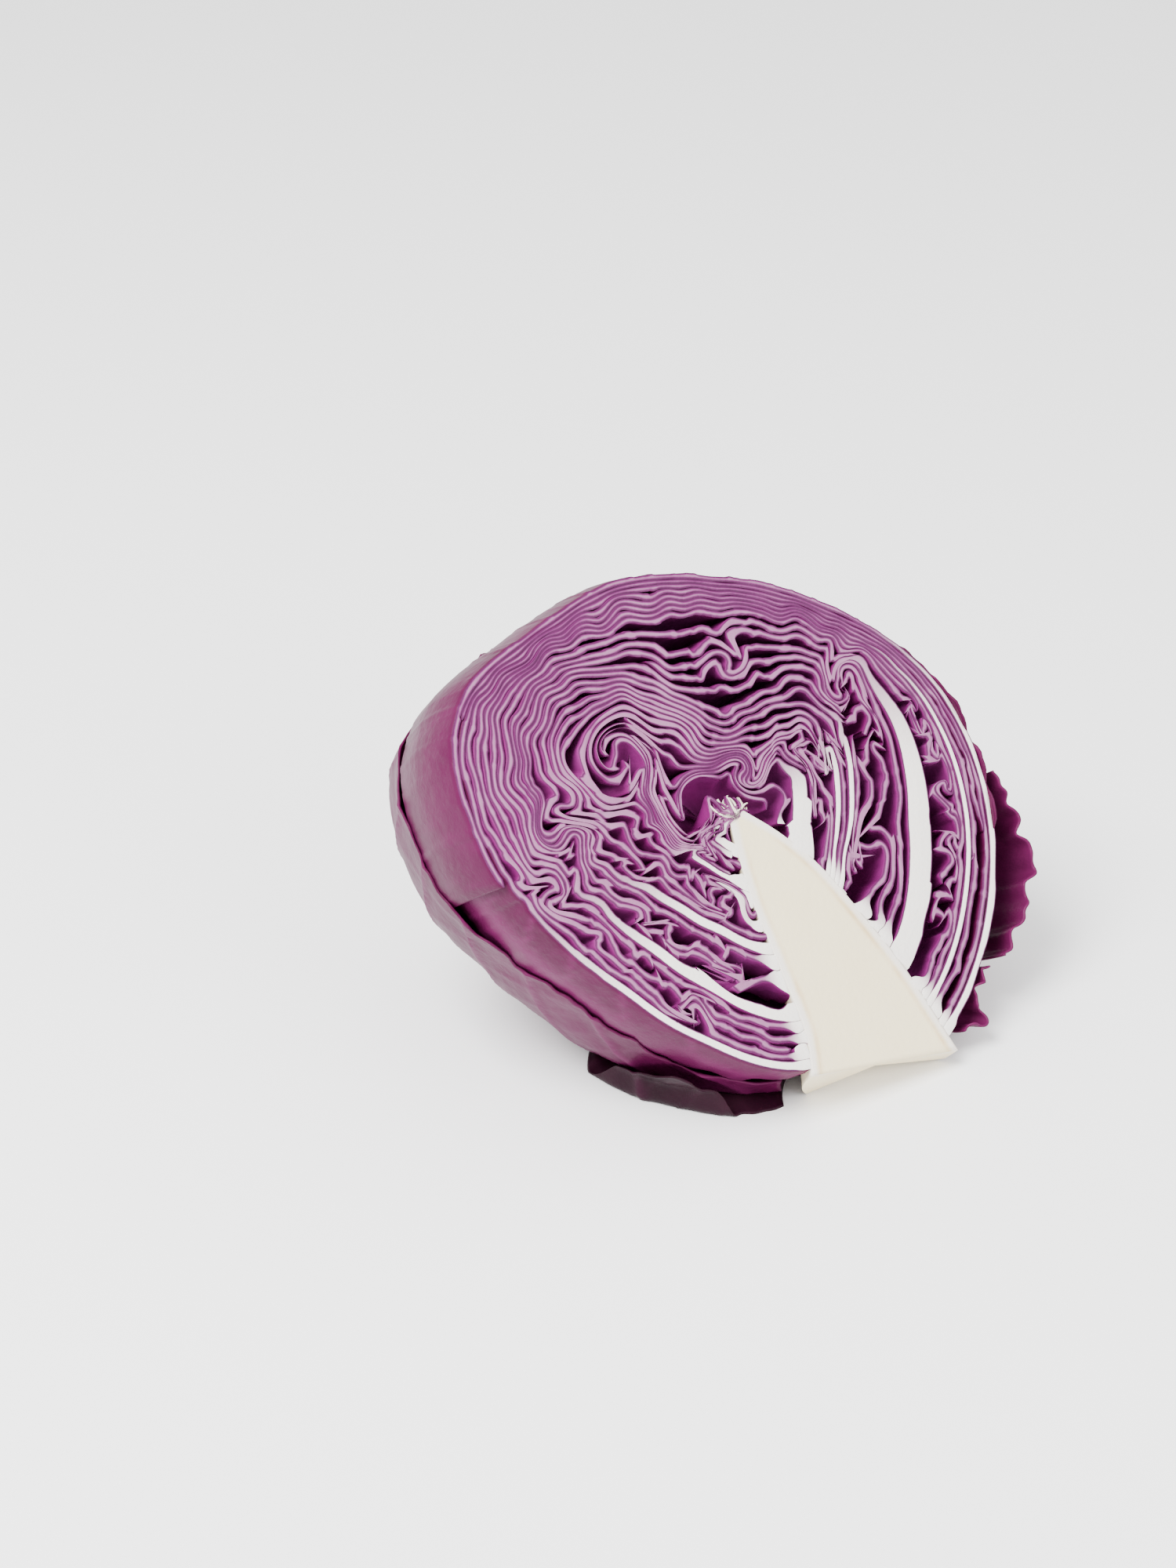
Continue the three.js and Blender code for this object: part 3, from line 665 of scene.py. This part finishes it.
def head_leaf(index, field, blade, rng):
    """One leaf of the head as a closed mesh: two skins, a cut edge on the face whose flesh stands a
    little proud, closed ends, and a fan of faces behind the tip."""
    name, alpha, level, rib, merged, skins, beside = leaf_surfaces(index, field, blade, rng)
    columns = len(alpha)
    rows = len(TURNS)
    outermost = name in OUTERMOST
    layers_out = len(LEAVES) - 1 - index
    floor_out = FLOOR - WRAPPER_ROOM - PRESSED_PITCH * layers_out
    turn = TURNS[:, None]
    behind = ring_behind(level)[None, :]
    solid = []
    for k, skin in enumerate(skins):
        points = dome(skin[..., 0], skin[..., 1], turn, behind + BACK_HALF[k])
        solid.append(press(points, floor_out - PRESSED_LEAF * k))
    length = np.concatenate([[0], np.cumsum(np.linalg.norm(np.diff(solid[0][0], axis=0), axis=-1))])
    lift = (FACE_LIFT * wave(rng, length, 19) - 0.1) * (1 - rib) * (1 - merged)
    lift -= 1.6 * smooth(-beside / 1.5)
    solid[0][0, :, 2] += lift
    solid[1][0, :, 2] += lift
    width = np.linalg.norm(solid[0][0] - solid[1][0], axis=-1)
    cap = []
    inside = []
    for a in ACROSS:
        row = solid[0][0] * (1 + a) / 2 + solid[1][0] * (1 - a) / 2
        row[:, 2] += 0.1 * (1 - a * a) * np.minimum(width, 2)
        cap.append(row)
        inside.append((1 - abs(a)) * width / 2 + 0.5 * merged)
    cap, inside = np.array(cap), np.array(inside)
    centre, back = ring_behind(level).mean(), np.array([1.0])
    poles = np.stack([dome(np.array([1e-5]), np.array([0.0]), back, centre + e) for e in BACK_HALF])
    poles = press(poles, floor_out)
    outer = np.arange(rows * columns).reshape(rows, columns)
    inner = outer + rows * columns
    middle = 2 * rows * columns + np.arange((len(ACROSS) - 2) * columns).reshape(-1, columns)
    pole = 2 * rows * columns + middle.size + np.arange(2)
    points = np.concatenate([solid[0].reshape(-1, 3), solid[1].reshape(-1, 3), cap[1:-1].reshape(-1, 3),
                             poles.reshape(-1, 3)])
    cap_index = np.vstack([outer[0], middle, inner[0]])
    fan_out = np.stack([outer[-1, :-1], np.full(columns - 1, pole[0]), outer[-1, 1:]], axis=-1)
    fan_in = np.stack([inner[-1, 1:], np.full(columns - 1, pole[1]), inner[-1, :-1]], axis=-1)
    start = np.stack([outer[:, 0], inner[:, 0]])
    end = np.stack([inner[:, -1], outer[:, -1]])
    close = np.array([
        [outer[-1, 0], inner[-1, 0], pole[1], pole[0]],
        [inner[-1, -1], outer[-1, -1], pole[0], pole[1]],
    ])
    cap_ends = np.array([cap_index[:, 0], cap_index[::-1, -1]])
    faces = [
        grid_quads(outer), grid_quads(inner, True), fan_out, fan_in, grid_quads(start), grid_quads(end),
        close, grid_quads(cap_index, True), cap_ends]
    slots = [0, 0, 0, 0, 0, 0, 0, 1, 1]
    skin = np.zeros((rows, columns))
    skin[0] = inside[0]
    inside_all = np.concatenate([skin.ravel(), skin.ravel(), inside[1:-1].ravel(), [0, 0]])
    white = np.maximum(rib, merged)
    pale = np.concatenate([np.tile(white, 2 * rows + len(ACROSS) - 2), [0, 0]])
    vein = np.zeros(len(points))
    if outermost:
        vein = surface_veins(points, 168 if "left" in name else 20)
    piece = build_mesh(name, points, faces, slots,
                       [material_of("outer_skin" if outermost else "inner_skin"), material_of("cut_leaf")],
                       {"inside_mm": inside_all, "pale": pale, "vein": vein}, sharp=[1])
    return piece


def surface_veins(points, midrib_longitude):
    """Veins over the dome, for a leaf whose midrib runs up from the stem at the given longitude."""
    size = np.linalg.norm(points, axis=-1)
    reach = np.arccos(np.clip(-points[:, 1] / np.maximum(size, 1e-6), -1, 1))
    longitude = np.degrees(np.arctan2(-points[:, 2], points[:, 0]))
    beside = np.radians(longitude - midrib_longitude) * np.sin(reach) * size
    return vein_pattern(reach * size, beside)


# ---------- core ----------
def spline(points, t):
    """Catmull-Rom curve through points at places t from 0 to 1."""
    points = np.asarray(points, float)
    padded = np.vstack([2 * points[0] - points[1], points, 2 * points[-1] - points[-2]])
    place = np.clip(t, 0, 1) * (len(points) - 1)
    i = np.minimum(place.astype(int), len(points) - 2)
    f = (place - i)[:, None]
    a, b, c, d = padded[i], padded[i + 1], padded[i + 2], padded[i + 3]
    square = (2 * a - 5 * b + 4 * c - d) * f ** 2
    cube = (3 * b - a - 3 * c + d) * f ** 3
    return 0.5 * (2 * b + (c - a) * f + square + cube)


def make_core():
    """The core: stations from the tip to the cut base, each a closed loop of a straight front on the cut
    face and half an ellipse behind, carried down between the core's left and right edges."""
    stations = 60
    front = 64
    arc = 34
    t = np.linspace(0, 1, stations)
    left, right = spline(CORE_LEFT, t), spline(CORE_RIGHT, t)
    across = np.linspace(0, 1, front)
    angle = np.linspace(math.pi, 0, arc + 2)[1:-1]
    front_xy = left[:, None] * (1 - across)[None, :, None] + right[:, None] * across[None, :, None]
    centre = (left + right) / 2
    half = (right - left) / 2
    width = np.linalg.norm(half, axis=-1)
    back_xy = centre[:, None] + half[:, None] * -np.cos(angle)[None, :, None]
    depth = 0.86 * width[:, None] * np.sin(angle)[None, :]
    base = smooth((t - 0.86) / 0.14)[:, None, None]
    back_xy = back_xy + base * depth[..., None] * 0.25 * np.array([-0.38, -0.925])
    front_z = np.full(front_xy.shape[:2], 0.12)
    loop = np.concatenate([
        np.concatenate([front_xy, front_z[..., None]], axis=-1),
        np.concatenate([back_xy, -depth[..., None]], axis=-1)], axis=1)
    loop = press(loop, FLOOR - 0.3)
    count = loop.shape[1]
    index = np.arange(stations * count).reshape(stations, count)
    ring = np.hstack([index, index[:, :1]])
    front_faces = grid_quads(ring[:, :front])
    back_faces = grid_quads(ring[:, front - 1:])
    points = loop.reshape(-1, 3)
    tip, foot = len(points), len(points) + 1
    points = np.vstack([points, loop[0].mean(0), loop[-1].mean(0)])
    fan_tip = np.stack([ring[0, :-1], np.full(count, tip), ring[0, 1:]], axis=-1)[:, ::-1]
    fan_foot = np.stack([ring[-1, 1:], np.full(count, foot), ring[-1, :-1]], axis=-1)[:, ::-1]
    from_left = np.linalg.norm(front_xy - left[:, None], axis=-1)
    from_right = np.linalg.norm(front_xy - right[:, None], axis=-1)
    edge = np.minimum(from_left, from_right)
    vessel = np.exp(-(((edge - 2.8) / 0.8) ** 2)) * smooth((t - 0.1) * 4)[:, None]
    pith = smooth((edge - 1.2) / 2.2)
    zeros = np.zeros((stations, arc))
    vessel = np.concatenate([np.hstack([vessel, zeros]).ravel(), [0, 0.2]])
    pith = np.concatenate([np.hstack([pith, zeros + 0.8]).ravel(), [0, 1]])
    skin = material_of("core_flesh")
    return build_mesh("core", points, [front_faces, back_faces, fan_tip, fan_foot], [0, 0, 0, 1],
                      [skin, skin], {"vessel": vessel, "pith": pith}, sharp=[1])


LEAFLETS = 44


def make_bud():
    """Crowded leaflets at the tip: small cupped scales, each a curled strip that leans out from the tip."""
    rng = np.random.default_rng(5)
    parts, faces, slots, tint, offset = [], [], [], [], 0
    for k in range(LEAFLETS):
        lean = np.radians(200 - 215 * k / (LEAFLETS - 1)) + rng.uniform(-0.1, 0.1)
        size = rng.uniform(4.0, 6.5) + 3.0 * math.exp(-((lean - 2.5) / 0.5) ** 2) 
        depth = rng.uniform(0.2, 3.2)
        u, v = np.meshgrid(np.linspace(0, 1, 14), np.linspace(-1, 1, 9), indexing="ij")
        bend = lean + rng.uniform(-1.1, 1.1) * u ** 2
        x = size * u * np.cos(bend)
        y = 0.5 + size * u * np.sin(bend)
        z = -depth + 1.3 * v * np.sqrt(np.clip(1 - u ** 2, 0.04, 1)) + 0.5 * v * v
        z = np.minimum(z, 0.3)
        thin = 0.4 * (1 - 0.6 * u)
        nx, ny = -np.sin(bend), np.cos(bend)
        top = np.stack([x + nx * thin, y + ny * thin, z], axis=-1)
        low = np.stack([x - nx * thin, y - ny * thin, z], axis=-1)
        a = offset + np.arange(u.size).reshape(u.shape)
        b = a + u.size
        faces += sheet_faces(a, b, True)
        slots += [k % 3 == 1] * 6
        parts += [top.reshape(-1, 3), low.reshape(-1, 3)]
        tint += [np.tile((0.8 - 0.4 * u).ravel(), 2)]
        offset += 2 * u.size
    points = np.concatenate(parts)
    zeros = np.zeros(len(points))
    values = {"vessel": zeros, "pith": zeros + 0.3, "inside_mm": np.concatenate(tint), "pale": zeros}
    skins = [material_of("cut_leaf"), material_of("core_flesh")]
    return build_mesh("bud", points, faces, slots, skins, values)


# ---------- wrapper leaves ----------
# Each wrapper leaf: name, middle longitude, spread, reach, layer, material.
WRAPPERS = [
    ("wrapper_leaf_right", 42, 46, 150, 1, "outer_skin"),
    ("wrapper_leaf_left", 118, 48, 152, 2, "outer_skin"),
    # the base leaf lies under the head on the floor and takes the darker skin: painted shade
    ("wrapper_leaf_base", 96, 66, 66, 3, "painted_shade_skin"),
]
WRAPPER_START = 21
WRAPPER_THICK = 1.3
FLAT_LAYERS = 3
WRAPPER_PITCH = 1.7


def outermost_level(alpha):
    """The outermost ring in a direction: the right-hand outer leaf ends at the upper left."""
    return np.clip(8 - (alpha - 165) / 15, 7, 8)


def dome_along(direction, lift):
    """The dome's surface in any direction behind the face, raised by lift."""
    plane = np.maximum(np.hypot(direction[..., 0], direction[..., 1]), 1e-6)
    alpha = np.degrees(np.arctan2(direction[..., 1], direction[..., 0]))
    alpha = np.where(alpha < -90, alpha + 360, alpha)
    slope = -direction[..., 2] / plane
    angle = np.arctan(slope) - np.arcsin(BULGE / (DOME * np.hypot(1, slope)))
    start = -math.atan(BULGE)
    turn = (angle - start) / (math.pi / 2 - start)
    flat = ring_radius(outermost_level(alpha), alpha)
    r = flat + (RING_BEHIND[-1] - flat) * smooth(turn)
    reach = np.hypot(r * DOME * np.cos(angle), r * (DOME * np.sin(angle) + BULGE))
    unit = direction / np.linalg.norm(direction, axis=-1, keepdims=True)
    return unit * (reach + lift)[..., None]


def settle(points, floor):
    """Points of the outermost leaf that hang close above the resting surface sag down to it."""
    below = points @ DOWN
    sag = smooth((below - (floor - 2 * DROOP)) / DROOP)
    return points * (1 + sag * (floor / below - 1))[..., None]


def make_wrapper(entry, rng):
    """A wrapper leaf over the dome: a pointed oval in angles about the stem, with raised veins, puckers
    between them and a wavy margin. Its free margins hug the head, where no other wrapper leaf lies
    below, and it is pressed flat where it meets the surface below."""
    name, middle, spread, far, layer, skin = entry
    u, v = np.meshgrid(np.linspace(0, 1, 110), np.linspace(-1, 1, 110), indexing="ij")
    reach = WRAPPER_START + (far - WRAPPER_START) * u
    ragged = 1 + 0.03 * wave(rng, reach, 22) + 0.02 * wave(rng, reach, 9)
    width = spread * np.sqrt(np.maximum(0.06, 1 - u ** 3)) * ragged * (0.78 + 0.22 * smooth(2 * u))
    longitude = middle + width * v
    sin_reach = np.sin(np.radians(reach))
    direction = np.stack([sin_reach * np.cos(np.radians(longitude)), -np.cos(np.radians(reach)),
                          -sin_reach * np.sin(np.radians(longitude))], axis=-1)
    beside = np.radians(width * v) * sin_reach * 75
    along = np.radians(reach) * 75
    vein = vein_pattern(along, beside)
    pucker = 0.5 * np.sin(along / 4.1 + 2 * np.sin(beside / 9))
    pucker = pucker * np.sin(beside / 5.3 + 1.5 * np.sin(along / 13))
    margin = smooth((np.abs(v) - 0.86) / 0.14) + smooth((u - 0.93) / 0.07)
    frill = margin * 0.6 * np.sin(along / 3.4 + 2 * np.sin(along / 9))
    raised = 0.9 * vein + 0.4 * pucker * (1 - vein) + 0.5 * frill
    free_side = np.abs(v) if layer == 1 else v
    free_end = smooth((u - 0.8) / 0.15) * smooth((longitude - 30) / 60)
    hug = np.maximum(smooth((free_side - 0.5) / 0.4), free_end)
    hug = hug * (layer < FLAT_LAYERS)
    lift = 1.3 + 1.45 * layer * (1 - hug) + 0.3 * hug
    layers_out = FLAT_LAYERS - layer
    floor = FLOOR - layers_out * WRAPPER_PITCH
    thick = WRAPPER_THICK * (1 - 0.6 * margin.clip(0, 1))
    outer = press(dome_along(direction, lift + raised), floor)
    inner = press(dome_along(direction, lift + raised * 0.7 - thick), floor - WRAPPER_THICK)
    if layers_out == 0:
        outer = settle(outer, floor)
        inner = settle(inner, floor - thick)
    n = u.size
    a = np.arange(n).reshape(u.shape)
    b = a + n
    faces = sheet_faces(a, b, True)
    points = np.concatenate([outer.reshape(-1, 3), inner.reshape(-1, 3)])
    values = np.tile(vein.ravel(), 2)
    return build_mesh(name, points, faces, [0] * 6, [material_of(skin)], {"vein": values})


# ---------- loose ruffled leaves at the lower right ----------
# Each loose leaf: name, path on the face, depth, ruffle height, ruffle wavelength.
LOOSE = [
    ("frilled_leaf_right", [
        (84.6, -30), (84.2, -42), (81.5, -54), (74, -63), (63, -72), (55, -74),
    ], 24, 2.0, 15.0),
    ("curled_leaf_right", [(30, -84), (37, -84), (41, -77), (49, -74)], 12, 1.8, 11.0),
]


def make_loose(entry, rng):
    """A loose leaf: its margin follows a path on the face and is thrown into ruffles that die out
    behind it, as a grid of path and depth with a thin closed wall."""
    name, path, depth, height, wavelength = entry
    u, v = np.meshgrid(np.linspace(0, 1, 190), np.linspace(0, 1, 26), indexing="ij")
    line = spline(path, u[:, 0])
    length = np.concatenate([[0], np.cumsum(np.linalg.norm(np.diff(line, axis=0), axis=-1))])
    tangent = np.gradient(line, axis=0)
    tangent /= np.linalg.norm(tangent, axis=-1, keepdims=True)
    normal = np.stack([tangent[:, 1], -tangent[:, 0]], axis=-1)
    ruffle = height * (1 - v) ** 1.3 * wave(rng, length, wavelength)[:, None]
    ruffle = ruffle * smooth(u * 8) * smooth((1 - u) * 8)
    sway = 0.35 * height * (1 - v) * wave(rng, length + 3, wavelength * 0.6)[:, None]
    xy = line[:, None] * (1 - 0.06 * v[..., None] ** 2) + normal[:, None] * ruffle[..., None]
    z = -depth * v + 1.2 * sway - 0.5
    z = np.minimum(z, 1.0)
    centre = np.concatenate([xy, z[..., None]], axis=-1)
    du, dv = np.gradient(centre, axis=0), np.gradient(centre, axis=1)
    face = np.cross(du, dv)
    face /= np.maximum(np.linalg.norm(face, axis=-1, keepdims=True), 1e-6)
    thick = 0.45 * (1 - 0.35 * (1 - v))[..., None]
    top, low = centre + face * thick, centre - face * thick
    top, low = press(top, FLOOR - 0.5), press(low, FLOOR - 0.5)
    a = np.arange(u.size).reshape(u.shape)
    b = a + u.size
    faces = sheet_faces(a, b, False)
    points = np.concatenate([top.reshape(-1, 3), low.reshape(-1, 3)])
    vein = np.tile((0.6 * smooth(1 - 6 * v)).ravel(), 2)
    return build_mesh(name, points, faces, [0] * 6, [material_of("outer_skin")], {"vein": vein})


# ---------- settings ----------
def color_property(name, description, default):
    """A colour that a user can change."""
    return bpy.props.FloatVectorProperty(name=name, description=description, default=default,
                                         subtype="COLOR", size=3, min=0, max=1)


class CabbageHead(bpy.types.PropertyGroup):
    """Sizes and colours of the half head."""
    blade: bpy.props.FloatProperty(
        name="Leaf thickness", description="Full thickness of a leaf blade", default=2.15 * MM,
        min=0.5 * MM, max=5 * MM, subtype="DISTANCE", unit="LENGTH")
    folding: bpy.props.FloatProperty(
        name="Folding", description="How strongly the leaves are crumpled in the pockets", default=1.0,
        min=0, max=2, subtype="FACTOR")
    seed: bpy.props.IntProperty(name="Seed", description="Chooses the pattern of folds", default=11)
    skin_color: color_property("Skin", "Dark skin of a leaf where it is cut", (0.042, 0.001, 0.031))
    blush_color: color_property("Blush", "Flesh next to the skin", (0.14, 0.018, 0.105))
    flesh_color: color_property("Flesh", "Pale flesh inside a leaf blade", (0.31, 0.14, 0.25))
    rib_color: color_property("Midrib", "White flesh of midribs", (0.80, 0.755, 0.71))
    core_color: color_property("Core", "Cream flesh of the core", (0.84, 0.73, 0.48))
    inner_color: color_property("Inner skin", "Skin of the inner leaves", (0.11, 0.002, 0.065))
    outer_color: color_property("Outer skin", "Skin of the outer leaves", (0.052, 0.0008, 0.024))
    vein_color: color_property("Vein", "Veins of the outer leaves", (0.11, 0.006, 0.06))
    bloom_color: color_property("Bloom", "Waxy bloom on the outer leaves", (0.085, 0.02, 0.05))


class CabbageStage(bpy.types.PropertyGroup):
    """Floor, lights and camera."""
    distance: bpy.props.FloatProperty(
        name="Camera distance", description="From the camera to the cut face", default=0.9,
        min=0.3, max=5, subtype="DISTANCE", unit="LENGTH")
    elevation: bpy.props.FloatProperty(
        name="Camera elevation", description="How far the camera looks down", default=math.radians(30),
        min=0, max=math.radians(80), subtype="ANGLE", unit="ROTATION")
    floor_color: color_property("Floor", "Colour of the floor", (0.92, 0.92, 0.92))
    key_power: bpy.props.FloatProperty(
        name="Key light", description="Power of the large soft light", default=44.0, min=0, max=500,
        unit="POWER")


# ---------- operators ----------
class CABBAGE_OT_core(bpy.types.Operator):
    """Build the core and the bud on its tip"""
    bl_idname = "cabbage.core"
    bl_label = "Core"

    def execute(self, context):
        finish_piece(make_core(), "core", "core")
        finish_piece(make_bud(), "core", "bud")
        return {"FINISHED"}


class CABBAGE_OT_head_leaves(bpy.types.Operator):
    """Build the folded leaves of the head"""
    bl_idname = "cabbage.head_leaves"
    bl_label = "Head leaves"

    def execute(self, context):
        s = settings()
        field = fold_field(s.seed, s.folding)
        rng = np.random.default_rng(s.seed)
        for index, entry in enumerate(LEAVES):
            piece = head_leaf(index, field, s.blade / MM, rng)
            slot = "outer_leaf" if entry[0] in OUTERMOST else "inner_leaf"
            finish_piece(piece, slot, entry[0])
        return {"FINISHED"}


class CABBAGE_OT_wrapper_leaves(bpy.types.Operator):
    """Build the wrapper leaves over the back"""
    bl_idname = "cabbage.wrapper_leaves"
    bl_label = "Wrapper leaves"

    def execute(self, context):
        rng = np.random.default_rng(settings().seed + 1)
        for entry in WRAPPERS:
            finish_piece(make_wrapper(entry, rng), "outer_leaf", entry[0])
        return {"FINISHED"}


class CABBAGE_OT_loose_leaves(bpy.types.Operator):
    """Build the loose ruffled leaves"""
    bl_idname = "cabbage.loose_leaves"
    bl_label = "Loose leaves"

    def execute(self, context):
        rng = np.random.default_rng(settings().seed + 2)
        for entry in LOOSE:
            finish_piece(make_loose(entry, rng), "outer_leaf", entry[0])
        return {"FINISHED"}


class CABBAGE_OT_stage(bpy.types.Operator):
    """Set up the floor, the lights and the camera"""
    bl_idname = "cabbage.stage"
    bl_label = "Stage"

    def execute(self, context):
        stage = context.scene.cabbage_stage
        size = 6.0
        corners = [(-size, -size, 0), (size, -size, 0), (size, size, 0), (-size, size, 0)]
        mesh = bpy.data.meshes.new("floor")
        mesh.from_pydata(corners, [], [(0, 1, 2, 3)])
        floor = bpy.data.objects.new("floor", mesh)
        context.scene.collection.objects.link(floor)
        material, _, _, shader = new_material("pale_floor")
        shader.inputs["Base Color"].default_value = (*stage.floor_color, 1)
        shader.inputs["Roughness"].default_value = 0.9
        mesh.materials.append(material)
        world = bpy.data.worlds.new("soft_sky")
        world.use_nodes = True
        world.node_tree.nodes["Background"].inputs["Color"].default_value = (1, 1, 1, 1)
        world.node_tree.nodes["Background"].inputs["Strength"].default_value = 1.7
        context.scene.world = world
        for name, place, aim, width, power in (
            ("key", (-0.55, -0.45, 1.15), (0, 0, 0.05), 0.7, stage.key_power),
            ("fill", (0.9, -0.8, 0.7), (0, 0, 0.05), 0.8, stage.key_power * 0.3),
        ):
            light = bpy.data.lights.new(name, "AREA")
            light.size = width
            light.energy = power
            lamp = bpy.data.objects.new(name, light)
            context.scene.collection.objects.link(lamp)
            lamp.location = place
            direction = np.array(aim) - np.array(place)
            lamp.rotation_euler = Vector(direction).to_track_quat("-Z", "Y").to_euler()
        e = stage.elevation
        back = np.array([0, -math.cos(e), math.sin(e)])
        up = np.array([0, math.sin(e), math.cos(e)])
        target = TIP * MM + np.array([-0.040, 0, 0]) + 0.0095 * up
        camera = bpy.data.cameras.new("camera")
        camera.lens = camera.sensor_width * stage.distance / 0.42
        holder = bpy.data.objects.new("camera", camera)
        context.scene.collection.objects.link(holder)
        holder.location = target + stage.distance * back
        holder.rotation_euler = (math.pi / 2 - e, 0, 0)
        context.scene.camera = holder
        return {"FINISHED"}


class CABBAGE_PT_panel(bpy.types.Panel):
    """Settings and steps of the cabbage half"""
    bl_label = "Red cabbage half"
    bl_idname = "CABBAGE_PT_panel"
    bl_space_type = "VIEW_3D"
    bl_region_type = "UI"
    bl_category = "Cabbage"

    def draw(self, context):
        for group in (context.scene.cabbage_head, context.scene.cabbage_stage):
            for key in group.bl_rna.properties.keys():
                if key not in ("rna_type", "name"):
                    self.layout.prop(group, key)
        for operator in OPERATORS:
            self.layout.operator(operator.bl_idname)


OPERATORS = (CABBAGE_OT_core, CABBAGE_OT_head_leaves, CABBAGE_OT_wrapper_leaves, CABBAGE_OT_loose_leaves,
             CABBAGE_OT_stage)
CLASSES = (CabbageHead, CabbageStage, *OPERATORS, CABBAGE_PT_panel)


def register():
    for cls in CLASSES:
        bpy.utils.register_class(cls)
    bpy.types.Scene.cabbage_head = bpy.props.PointerProperty(type=CabbageHead)
    bpy.types.Scene.cabbage_stage = bpy.props.PointerProperty(type=CabbageStage)


def unregister():
    del bpy.types.Scene.cabbage_stage
    del bpy.types.Scene.cabbage_head
    for cls in reversed(CLASSES):
        bpy.utils.unregister_class(cls)


def main():
    """Registers the classes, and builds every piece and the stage."""
    register()
    bpy.ops.cabbage.core()
    bpy.ops.cabbage.head_leaves()
    bpy.ops.cabbage.wrapper_leaves()
    bpy.ops.cabbage.loose_leaves()
    bpy.ops.cabbage.stage()


if __name__ == "__main__":
    main()
